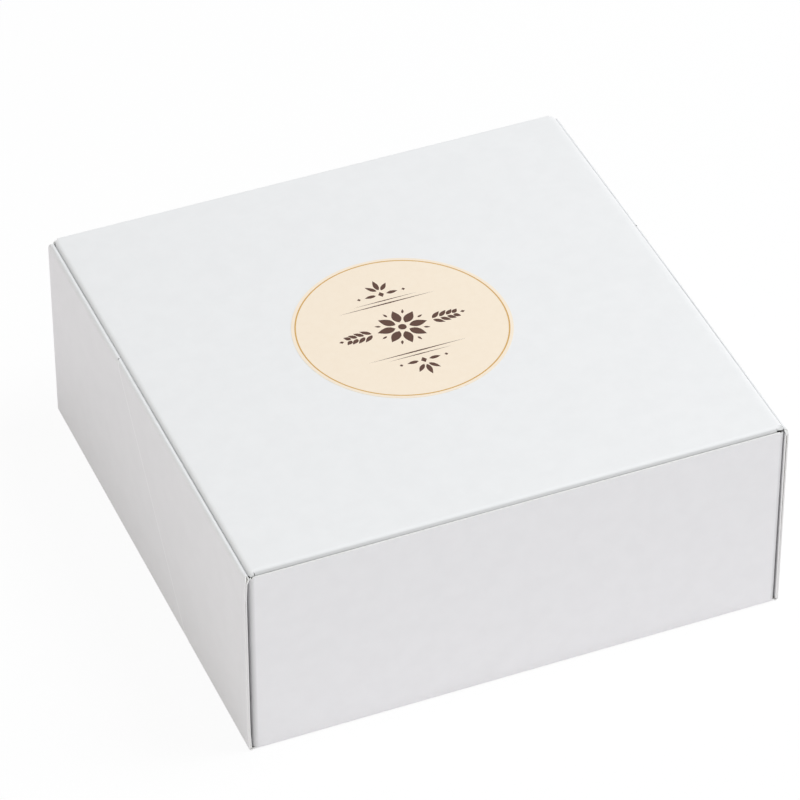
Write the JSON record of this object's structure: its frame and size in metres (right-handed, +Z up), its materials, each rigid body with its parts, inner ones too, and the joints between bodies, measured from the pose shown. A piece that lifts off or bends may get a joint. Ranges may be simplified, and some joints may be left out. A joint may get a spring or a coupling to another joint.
{
  "type": "folding cake box",
  "caption": "Square white paperboard cake box with rolled double side walls, a hinged lid with tuck flaps and a round cream label.",
  "frame": {"origin": "middle of the resting face, on the surface that the box stands on", "axes": "+X across the front to the right, +Y from the front wall to the hinged back wall, +Z up"},
  "size_m": [0.2598, 0.2554, 0.1034],
  "materials": {
    "coated_board": "white clay-coated paperboard, low satin sheen",
    "uncoated_board": "white paperboard with its uncoated side showing, matte",
    "label_paper": "cream printed label paper, satin"
  },
  "bodies": {
    "tray": {"base_panel": "coated_board", "front_wall": "coated_board", "back_wall": "coated_board", "left_outer_wall": "coated_board", "right_outer_wall": "coated_board", "left_inner_wall": "coated_board", "right_inner_wall": "coated_board", "front_left_corner_crease": "coated_board", "front_right_corner_crease": "coated_board", "back_left_corner_crease": "coated_board", "back_right_corner_crease": "coated_board", "front_left_corner_flap": "uncoated_board", "front_right_corner_flap": "uncoated_board", "back_left_corner_flap": "uncoated_board", "back_right_corner_flap": "uncoated_board"},
    "lid": {"lid_panel": "coated_board", "lid_label": "label_paper"},
    "tuck_flap": {"front_tuck_flap": "uncoated_board"},
    "left_flap": {"lid_left_flap": "uncoated_board"},
    "right_flap": {"lid_right_flap": "uncoated_board"}
  },
  "joints": [
    {"name": "lid_hinge", "type": "hinge", "parent": "tray", "child": "lid", "pos_m": [0, 0.12735, 0.10295], "axis": [-1, 0, 0], "range_deg": [0, 200]},
    {"name": "tuck_flap_hinge", "type": "hinge", "parent": "lid", "child": "tuck_flap", "pos_m": [0, -0.12623, 0.10017], "axis": [1, 0, 0], "range_deg": [0, 80]},
    {"name": "left_flap_hinge", "type": "hinge", "parent": "lid", "child": "left_flap", "pos_m": [-0.12743, 0, 0.10017], "axis": [0, -1, 0], "range_deg": [0, 80]},
    {"name": "right_flap_hinge", "type": "hinge", "parent": "lid", "child": "right_flap", "pos_m": [0.12743, 0, 0.10017], "axis": [0, 1, 0], "range_deg": [0, 80]}
  ]
}
